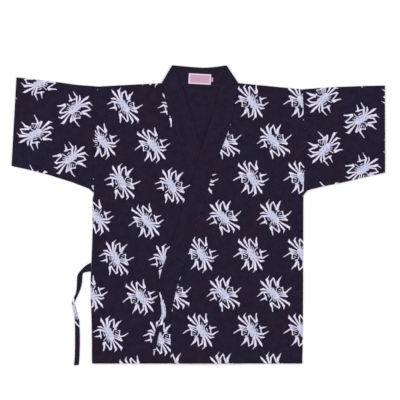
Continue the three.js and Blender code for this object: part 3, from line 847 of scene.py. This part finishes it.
def neck_edge(rows):
    """Lower or upper edge of the back collar band, between the folds."""
    def edge(u):
        x = mix(rows[0][0] + back_inset, rows[-1][0] - back_inset, u)
        return Vector((x, along(rows, x)))
    return edge


def neck_height(spot, left, right, bottom, top):
    return BAND_WALL - rounded(bottom, BAND_ROUND, 0.9) - rounded(top, BAND_ROUND, 1.1)


neck_low, neck_high = neck_edge(NECK_SEAM), neck_edge(NECK_TOP)
neck_plan = patch(
    lambda v: neck_low(0).lerp(neck_high(0), v),
    lambda v: neck_low(1).lerp(neck_high(1), v),
    neck_low,
    neck_high,
)
back_band = panel("back_band_strip", neck_plan, stations(BACK_BAND_SIZE[0]),
                  stations(BACK_BAND_SIZE[1], BAND_EDGE_INSETS, BAND_EDGE_INSETS),
                  neck_height, [plain_cotton], tuple, thickness=BAND_CLOTH)
neck_stitches = sew("back_band_stitches", back_band,
                    [edge_line(lambda u: neck_low(u) + Vector((0, BACK_BAND_STITCH)))])
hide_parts("back_band")

# Front collar bands. Each is the same folded strip of plain cotton, sewn along its front's slanted
# edge and folded over to the back at the side of the neck; its lower end is cut to a slant.
RIGHT_BAND_EDGE = (
    # y, x
    (-195, -107.4), (-162, -102.6), (-124, -90), (-29, -57.6), (22, -41), (125, -7),
    (176, 8), (193, 13), (261, 36), (327, 53.4), (376, 66), (405, 76.3),
)
FRONT_BAND_SIZE = (52, 640)
BAND_FOOT_ROUND = (1.4, 1.0)
BAND_FOOT_INSETS = (0, 0.4, 1.4)
BAND_CREASE = 0.6  # share of the cloth's creases that the doubled band follows
BAND_STITCH = (2.6, 6, 4)  # from the seam, from the lower end and from the neck
BAND_FOOT_STITCH = ((0.06, 0.007), (0.94, 0.007))  # its ends across and up the band
neck_outline = [*NECK_SEAM, *reversed(NECK_TOP)]


def band_height(level):
    """Height of a front band's upper face over the underside that level gives."""
    def height(spot, left, right, bottom, top):
        up = level(spot) + (BAND_WALL - WALL) * near_outline(spot, neck_outline) + BAND_WALL
        up += uneven(spot) * BAND_CREASE
        up -= max(rounded(left, BAND_ROUND, 1.0), rounded(right, BAND_ROUND, 1.0),
                  rounded(bottom, *BAND_FOOT_ROUND))
        return up - rounded(top, ROLL, up - ROLL_FOOT)
    return height


def make_band(side, seam_rows, edge_rows, level):
    """A front band with the stitches along its seam and across its lower end."""
    inward = 1 if side == "left" else -1
    seam = seam_edge(seam_rows, BAND_END_Y, seam_rows[-1][0], inward * SEAM_GAP / 2)
    edge = seam_edge(edge_rows, edge_rows[0][0], edge_rows[-1][0], 0)
    plan = patch(seam, edge) if side == "left" else patch(edge, seam)
    band = panel(f"{side}_band_strip", plan,
                 stations(FRONT_BAND_SIZE[0], BAND_EDGE_INSETS, BAND_EDGE_INSETS),
                 stations(FRONT_BAND_SIZE[1], BAND_FOOT_INSETS, ROLL_INSETS),
                 band_height(level), [plain_cotton], tuple, thickness=BAND_CLOTH)
    aside, from_end, from_neck = BAND_STITCH
    beside_seam = seam_edge(seam_rows, BAND_END_Y + from_end, seam_rows[-1][0] - from_neck,
                            inward * aside)
    stitches = sew(f"{side}_band_stitches", band,
                   [edge_line(beside_seam), [plan(*place) for place in BAND_FOOT_STITCH]])
    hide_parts(f"{side}_band")


make_band("left", LEFT_BAND_SEAM, LEFT_BAND_EDGE, on_back)
make_band("right", RIGHT_BAND_SEAM, RIGHT_BAND_EDGE, over_left)

# Side tie. A narrow strip of the printed cloth, folded in and stitched along its edge; it is sewn
# into the side seam and lies on the table in a long bend, rolled up and turned over halfway.
TIE_WIDTH = 11
TIE_WALL = 1.2
TIE_INSETS = (0, 0.3, 0.9)
TIE_ROUND = (0.9, 0.7)
TIE_STEP = 2  # between the points of a tie
TIE_STITCH = 0.85  # share of the way across at which a tie is stitched
SIDE_TIE_LONG = 300
SIDE_TIE_ROLL = (-230, 16)  # y at which it is rolled up, and how far along it that reaches
SIDE_TIE_FLOWER = ((-327.3, -258.2), 350)
SIDE_TIE = (
    # left edge x and y, right edge x and y, seen down the tie
    (-290, -151.5, -290, -129), (-299.3, -152.8, -298.5, -133.7),
    (-307.1, -153.9, -307.4, -140.1), (-312.2, -157.4, -316.3, -149.3),
    (-313.9, -163.6, -323.3, -158.2), (-314.3, -170.6, -326.6, -167.6),
    (-315.2, -183.3, -327.2, -183.3), (-318.5, -196.8, -328, -196.8),
    (-322.5, -207.6, -329.4, -207.6), (-327.4, -218.4, -333, -218.4),
    (-332.7, -229.2, -337.3, -229.2), (-334.5, -238.7, -340.1, -238.7),
    (-331, -249.8, -339, -249.8), (-327.6, -263, -336.4, -263),
    (-324.6, -277.8, -333.4, -277.8), (-322.3, -289, -332.8, -289),
    (-320.9, -332, -332.2, -332), (-322, -382, -333, -382), (-323.9, -405, -335.3, -405.3),
)


def tie_edge(rows, column):
    """Smooth edge of a tie through a pair of its table's columns, by share of its rows."""
    def edge(v):
        last = len(rows) - 1
        k = min(int(v * last), last - 1)
        s = v * last - k
        before, start, end, after = (
            Vector(rows[min(max(i, 0), last)][column:column + 2]) for i in range(k - 1, k + 3)
        )
        bend = (end - before) * (s - 2 * s * s + s ** 3) + (after - start) * (s ** 3 - s * s)
        return start * (1 - 3 * s * s + 2 * s ** 3) + end * (3 * s * s - 2 * s ** 3) + bend / 2
    return edge


def tie_height(spot, left, right, bottom, top):
    """Height of a tie's upper face over what it lies on."""
    return TIE_WALL - rounded(min(left, right), *TIE_ROUND)


def side_tie_height(spot, left, right, bottom, top):
    """The same for the side tie, which stands 1 mm higher where it is rolled up."""
    rolled = math.exp(-(((spot.y - SIDE_TIE_ROLL[0]) / SIDE_TIE_ROLL[1]) ** 2))
    return tie_height(spot, left, right, bottom, top) + rolled


side_tie_plan = patch(tie_edge(SIDE_TIE, 2), tie_edge(SIDE_TIE, 0))
tie_columns = stations(TIE_WIDTH, TIE_INSETS, TIE_INSETS, TIE_STEP)
side_tie = panel("side_tie_strip", side_tie_plan, tie_columns,
                 stations(SIDE_TIE_LONG, step=TIE_STEP), side_tie_height, [printed_cotton],
                 lambda place: bolt_place(place, *SIDE_TIE_FLOWER))
side_tie_stitches = sew("side_tie_stitches", side_tie,
                        [edge_line(lambda v: side_tie_plan(TIE_STITCH, v), 100)])
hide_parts("side_tie")

# Front tie. The same strip on the left front, coming out from under the lower end of the right
# collar band; its upper stretch is partly turned under, so that a sliver of print shows.
FRONT_TIE_FLOWER = ((-76.9, -369.7), 340)
FRONT_TIE_LONG = 172
FRONT_TIE = (
    # left edge x and y, right edge x and y
    (-107.9, -201, -106.1, -201.8), (-105.4, -216, -99.6, -217), (-102.4, -234, -91.6, -236),
    (-99.4, -253, -87.8, -254), (-99.6, -269, -88.2, -272.4), (-106, -286, -95.6, -291.4),
    (-113.8, -307, -103, -311.4), (-121, -332, -109.8, -335), (-126.2, -364.6, -114.8, -366.6),
)


def front_tie_height(spot, left, right, bottom, top):
    return on_back(spot) + WALL + LAYER_GAP + tie_height(spot, left, right, bottom, top)


front_tie_plan = patch(tie_edge(FRONT_TIE, 2), tie_edge(FRONT_TIE, 0))
front_tie = panel("front_tie_strip", front_tie_plan, tie_columns,
                  stations(FRONT_TIE_LONG, step=TIE_STEP), front_tie_height, [printed_cotton],
                  lambda place: bolt_place(place, *FRONT_TIE_FLOWER))
front_tie_stitches = sew("front_tie_stitches", front_tie,
                         [edge_line(lambda v: front_tie_plan(TIE_STITCH, v))])
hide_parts("front_tie")

# Neck label. A bare woven satin label with a pale border, stitched to the inside of the back
# collar band at its ends, with its small size tab beside it.
LABEL_WALL = 0.8
LABEL_CLOTH = 0.7
LABEL = (3.9, 367.5, 60.5, 28)  # middle x and y, width and height
SIZE_TAB = (37.2, 365.4, 5, 11)
LABEL_TURN = -0.055
LABEL_BORDER = 3.5
LABEL_INSETS = (0, 0.3, 0.8)
LABEL_ROUND = (0.8, 0.35)
LABEL_GRAIN = 4
LABEL_STITCH = (28.8, 13)  # from the label's middle, along and across
PALE = 9  # border of a satin that is all border
label_turn = Matrix.Rotation(LABEL_TURN, 2)
SATIN_MIDDLE = linear(190, 152, 178)
SATIN_BORDER = linear(228, 202, 220)


def satin(name, width, height, border):
    """Woven satin, a mauve middle inside a paler border."""
    finish, tree, shader = new_finish(name, 0.5, 0.35)
    place = put(tree, "Attribute", attribute_name="bolt_place", out=1)
    place = put(tree, "VectorMath", place, operation="ABSOLUTE")
    over = put(tree, "VectorMath", place, (width / 2 - border, height / 2 - border, 0),
               operation="SUBTRACT")
    x = put(tree, "SeparateXYZ", over, out=0)
    y = put(tree, "SeparateXYZ", over, out=1)
    edge = put(tree, "Math", x, y, operation="MAXIMUM")
    edge = put(tree, "MapRange", edge, -0.4, 0.4, 0.0, 1.0)
    here = put(tree, "TexCoord", out=3)
    ribs = put(tree, "TexWave", here, 900.0, 0.6, 1.0, 1.0, out=1, bands_direction="Y")
    threads = spread(tree, here, 700.0, 2.0, 0.6, (0.3, 0.7), (0.93, 1.05))
    colour = shaded(tree, blend(tree, edge, SATIN_MIDDLE, SATIN_BORDER), threads)
    tree.links.new(colour, shader.inputs["Base Color"])
    emboss(tree, shader, ribs, 0.3, 0.1)
    shader.inputs["Sheen Weight"].default_value = 0.1
    return finish


def make_label(name, x, y, width, height, border):
    """A bare label on the back collar band."""
    def at(u, v):
        flat = Vector(((u - 0.5) * width, (v - 0.5) * height))
        spot = label_turn @ flat + Vector((x, y))
        inset = min(min(u, 1 - u) * width, min(v, 1 - v) * height)
        z = BAND_WALL + SEAM_GAP + LABEL_WALL - rounded(inset, *LABEL_ROUND)
        return Vector((spot.x, spot.y, z)), (flat.x, flat.y, 0)

    return lay(name, stations(width, LABEL_INSETS, LABEL_INSETS, LABEL_GRAIN),
               stations(height, LABEL_INSETS, LABEL_INSETS, LABEL_GRAIN), at,
               [satin(name, width, height, border)], thickness=LABEL_CLOTH)


label = make_label("neck_label", *LABEL, LABEL_BORDER)
size_tab = make_label("neck_size_tab", *SIZE_TAB, 0)
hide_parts("label")
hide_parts("size_tab")
label_ends = [
    [label_turn @ Vector((x, y)) + Vector(LABEL[:2]) for y in (-LABEL_STITCH[1], LABEL_STITCH[1])]
    for x in (-LABEL_STITCH[0], LABEL_STITCH[0])
]
label_stitches = sew("label_stitches", label, label_ends,
                     satin("pale_thread", PALE, PALE, PALE))
